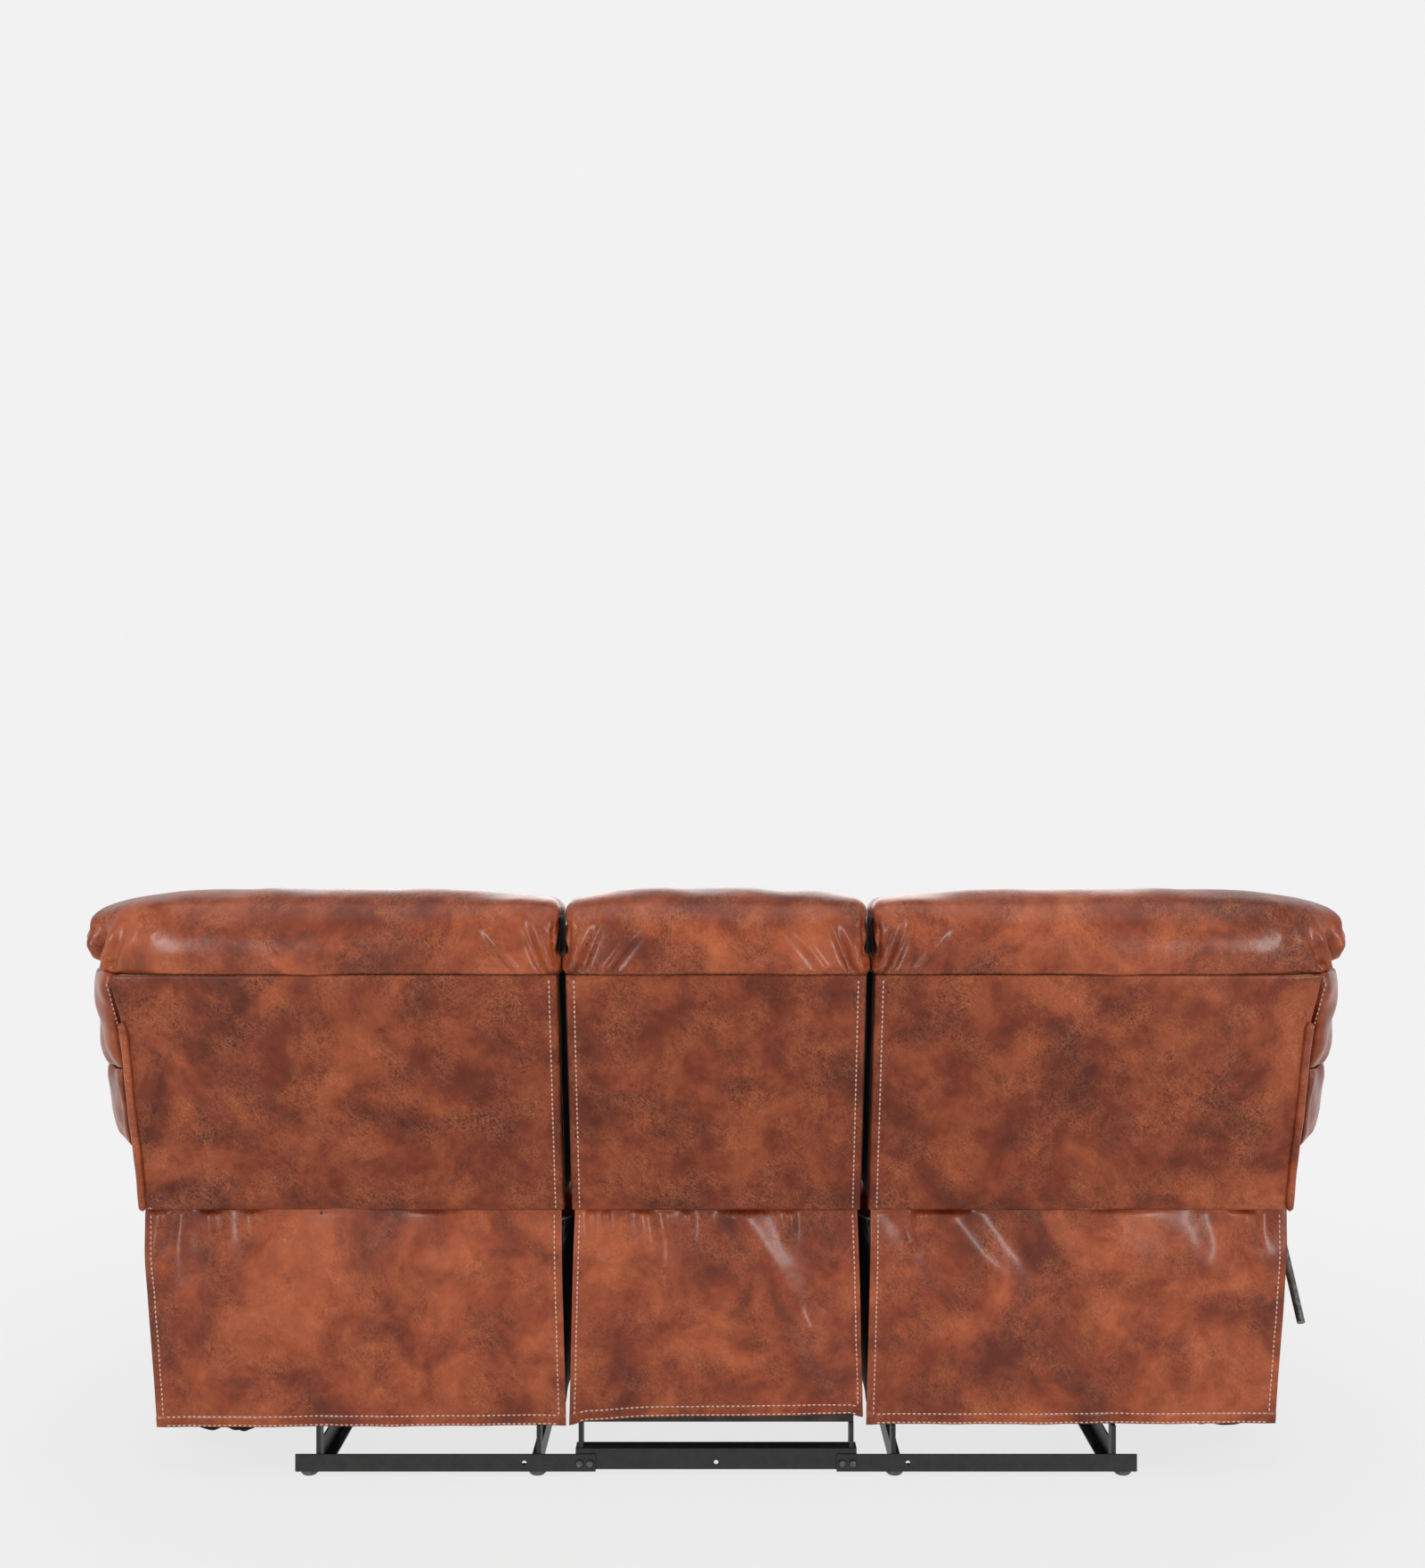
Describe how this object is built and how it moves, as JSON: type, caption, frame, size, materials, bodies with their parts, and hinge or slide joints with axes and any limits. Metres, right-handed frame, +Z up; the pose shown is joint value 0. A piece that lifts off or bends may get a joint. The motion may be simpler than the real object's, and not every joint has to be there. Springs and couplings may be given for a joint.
{
  "type": "reclining sofa",
  "caption": "Upholstered sofa on a low steel base; both end backs recline as their seats glide forward, and lever-released footrests unfold; a fixed middle seat.",
  "frame": {"origin": "centre of the whole sofa's footprint, on the floor", "axes": "+X towards the sitter's left, -Y towards the front of the seats, +Z up"},
  "size_m": [2.144, 0.9471, 1.0301],
  "materials": {
    "leather": "mottled glossy reddish-brown leather look",
    "base_steel": "black paint, satin",
    "linkage_steel": "black paint, satin",
    "bolt_steel": "dark plated",
    "spring_steel": "bare wire",
    "lever_steel": "worn bare rod",
    "glide_plastic": "matt black",
    "frame_wood": "raw board"
  },
  "bodies": {
    "base": {"cross_rails": "base_steel", "centre_rail": "base_steel", "rail_bolts": "bolt_steel", "glide_feet": "glide_plastic", "side_members": "base_steel", "centre_posts": "base_steel", "arm_brackets": "base_steel", "arm_frames": "frame_wood", "left_arm_cover": "leather", "right_arm_cover": "leather", "left_arm_pad": "leather", "right_arm_pad": "leather", "centre_seat_box": "frame_wood", "centre_seat_cushion": "leather", "centre_front_panel": "leather", "centre_back_frame": "frame_wood", "centre_back_panel": "leather", "centre_back_pads": "leather", "centre_headrest_roll": "leather", "centre_skirt": "leather"},
    "left_front_carrier": {"left_front_carrier": "linkage_steel"},
    "left_rear_carrier": {"left_rear_carrier": "linkage_steel"},
    "left_seat": {"left_seat_frame": "linkage_steel", "left_seat_springs": "spring_steel", "left_seat_cushion": "leather", "left_skirt": "leather"},
    "left_back": {"left_back_brackets": "linkage_steel", "left_back_frame": "frame_wood", "left_back_panel": "leather", "left_back_lower_pad": "leather", "left_back_upper_pad": "leather", "left_headrest_roll": "leather"},
    "left_main_link": {"left_main_links": "linkage_steel"},
    "left_guide_link": {"left_guide_links": "linkage_steel"},
    "left_upper_link": {"left_upper_links": "linkage_steel"},
    "left_stay_link": {"left_stay_links": "linkage_steel"},
    "left_footrest": {"left_footrest_frame": "linkage_steel", "left_footrest_pad": "leather"},
    "left_lever": {"left_drive_tube": "lever_steel", "left_lever": "lever_steel"},
    "right_front_carrier": {"right_front_carrier": "linkage_steel"},
    "right_rear_carrier": {"right_rear_carrier": "linkage_steel"},
    "right_seat": {"right_seat_frame": "linkage_steel", "right_seat_springs": "spring_steel", "right_seat_cushion": "leather", "right_skirt": "leather"},
    "right_back": {"right_back_brackets": "linkage_steel", "right_back_frame": "frame_wood", "right_back_panel": "leather", "right_back_lower_pad": "leather", "right_back_upper_pad": "leather", "right_headrest_roll": "leather"},
    "right_main_link": {"right_main_links": "linkage_steel"},
    "right_guide_link": {"right_guide_links": "linkage_steel"},
    "right_upper_link": {"right_upper_links": "linkage_steel"},
    "right_stay_link": {"right_stay_links": "linkage_steel"},
    "right_footrest": {"right_footrest_frame": "linkage_steel", "right_footrest_pad": "leather"},
    "right_lever": {"right_drive_tube": "lever_steel", "right_lever": "lever_steel"}
  },
  "joints": [
    {"name": "left_front_carrier_swing", "type": "hinge", "parent": "base", "child": "left_front_carrier", "pos_m": [0.501, -0.18804, 0.20843], "axis": [1, 0, 0], "range_deg": [0, 50.05]},
    {"name": "left_rear_carrier_swing", "type": "hinge", "parent": "base", "child": "left_rear_carrier", "pos_m": [0.501, 0.11196, 0.20843], "axis": [1, 0, 0], "range_deg": [0, 50.05]},
    {"name": "left_seat_level", "type": "hinge", "parent": "left_front_carrier", "child": "left_seat", "pos_m": [0.501, -0.15, 0.29], "axis": [-1, 0, 0], "range_deg": [0, 50.05]},
    {"name": "left_back_recline", "type": "hinge", "parent": "left_seat", "child": "left_back", "pos_m": [0.501, 0.23, 0.38], "axis": [-1, 0, 0], "range_deg": [0, 30], "deforming": ["left_skirt"]},
    {"name": "left_footrest_swing", "type": "hinge", "parent": "left_seat", "child": "left_main_link", "pos_m": [0.501, -0.25, 0.3], "axis": [-1, 0, 0], "range_deg": [0, 89.2]},
    {"name": "left_guide_link_swing", "type": "hinge", "parent": "left_seat", "child": "left_guide_link", "pos_m": [0.501, -0.3257, 0.3562], "axis": [-1, 0, 0], "range_deg": [0, 90.2]},
    {"name": "left_upper_link_fold", "type": "hinge", "parent": "left_main_link", "child": "left_upper_link", "pos_m": [0.501, -0.23505, 0.1156], "axis": [-1, 0, 0], "range_deg": [-112.07, 0]},
    {"name": "left_stay_link_fold", "type": "hinge", "parent": "left_guide_link", "child": "left_stay_link", "pos_m": [0.501, -0.28485, 0.11131], "axis": [-1, 0, 0], "range_deg": [-121.32, 0]},
    {"name": "left_footrest_tilt", "type": "hinge", "parent": "left_upper_link", "child": "left_footrest", "pos_m": [0.501, -0.385, 0.29], "axis": [-1, 0, 0], "range_deg": [0, 106.89]},
    {"name": "left_lever_pull", "type": "hinge", "parent": "base", "child": "left_lever", "pos_m": [0.501, 0.04, 0.405], "axis": [-1, 0, 0], "range_deg": [0, 75.07]},
    {"name": "right_front_carrier_swing", "type": "hinge", "parent": "base", "child": "right_front_carrier", "pos_m": [-0.501, -0.18804, 0.20843], "axis": [1, 0, 0], "range_deg": [0, 50.05]},
    {"name": "right_rear_carrier_swing", "type": "hinge", "parent": "base", "child": "right_rear_carrier", "pos_m": [-0.501, 0.11196, 0.20843], "axis": [1, 0, 0], "range_deg": [0, 50.05]},
    {"name": "right_seat_level", "type": "hinge", "parent": "right_front_carrier", "child": "right_seat", "pos_m": [-0.501, -0.15, 0.29], "axis": [-1, 0, 0], "range_deg": [0, 50.05]},
    {"name": "right_back_recline", "type": "hinge", "parent": "right_seat", "child": "right_back", "pos_m": [-0.501, 0.23, 0.38], "axis": [-1, 0, 0], "range_deg": [0, 30], "deforming": ["right_skirt"]},
    {"name": "right_footrest_swing", "type": "hinge", "parent": "right_seat", "child": "right_main_link", "pos_m": [-0.501, -0.25, 0.3], "axis": [-1, 0, 0], "range_deg": [0, 89.2]},
    {"name": "right_guide_link_swing", "type": "hinge", "parent": "right_seat", "child": "right_guide_link", "pos_m": [-0.501, -0.3257, 0.3562], "axis": [-1, 0, 0], "range_deg": [0, 90.2]},
    {"name": "right_upper_link_fold", "type": "hinge", "parent": "right_main_link", "child": "right_upper_link", "pos_m": [-0.501, -0.23505, 0.1156], "axis": [-1, 0, 0], "range_deg": [-112.07, 0]},
    {"name": "right_stay_link_fold", "type": "hinge", "parent": "right_guide_link", "child": "right_stay_link", "pos_m": [-0.501, -0.28485, 0.11131], "axis": [-1, 0, 0], "range_deg": [-121.32, 0]},
    {"name": "right_footrest_tilt", "type": "hinge", "parent": "right_upper_link", "child": "right_footrest", "pos_m": [-0.501, -0.385, 0.29], "axis": [-1, 0, 0], "range_deg": [0, 106.89]},
    {"name": "right_lever_pull", "type": "hinge", "parent": "base", "child": "right_lever", "pos_m": [-0.501, 0.04, 0.405], "axis": [-1, 0, 0], "range_deg": [0, 75.07]}
  ],
  "couplings": [
    {"joint": "left_front_carrier_swing", "follows": "left_back_recline", "ratio": 1.6667},
    {"joint": "left_rear_carrier_swing", "follows": "left_back_recline", "ratio": 1.6667},
    {"joint": "left_seat_level", "follows": "left_back_recline", "ratio": 1.6667},
    {"joint": "left_guide_link_swing", "follows": "left_footrest_swing", "ratio": 1.0106},
    {"joint": "left_upper_link_fold", "follows": "left_footrest_swing", "ratio": -1.2558},
    {"joint": "left_stay_link_fold", "follows": "left_footrest_swing", "ratio": -1.3595},
    {"joint": "left_footrest_tilt", "follows": "left_footrest_swing", "ratio": 1.1978},
    {"joint": "left_lever_pull", "follows": "left_footrest_swing", "ratio": 0.84106},
    {"joint": "right_front_carrier_swing", "follows": "right_back_recline", "ratio": 1.6667},
    {"joint": "right_rear_carrier_swing", "follows": "right_back_recline", "ratio": 1.6667},
    {"joint": "right_seat_level", "follows": "right_back_recline", "ratio": 1.6667},
    {"joint": "right_guide_link_swing", "follows": "right_footrest_swing", "ratio": 1.0106},
    {"joint": "right_upper_link_fold", "follows": "right_footrest_swing", "ratio": -1.2558},
    {"joint": "right_stay_link_fold", "follows": "right_footrest_swing", "ratio": -1.3595},
    {"joint": "right_footrest_tilt", "follows": "right_footrest_swing", "ratio": 1.1978},
    {"joint": "right_lever_pull", "follows": "right_footrest_swing", "ratio": 0.84106}
  ]
}
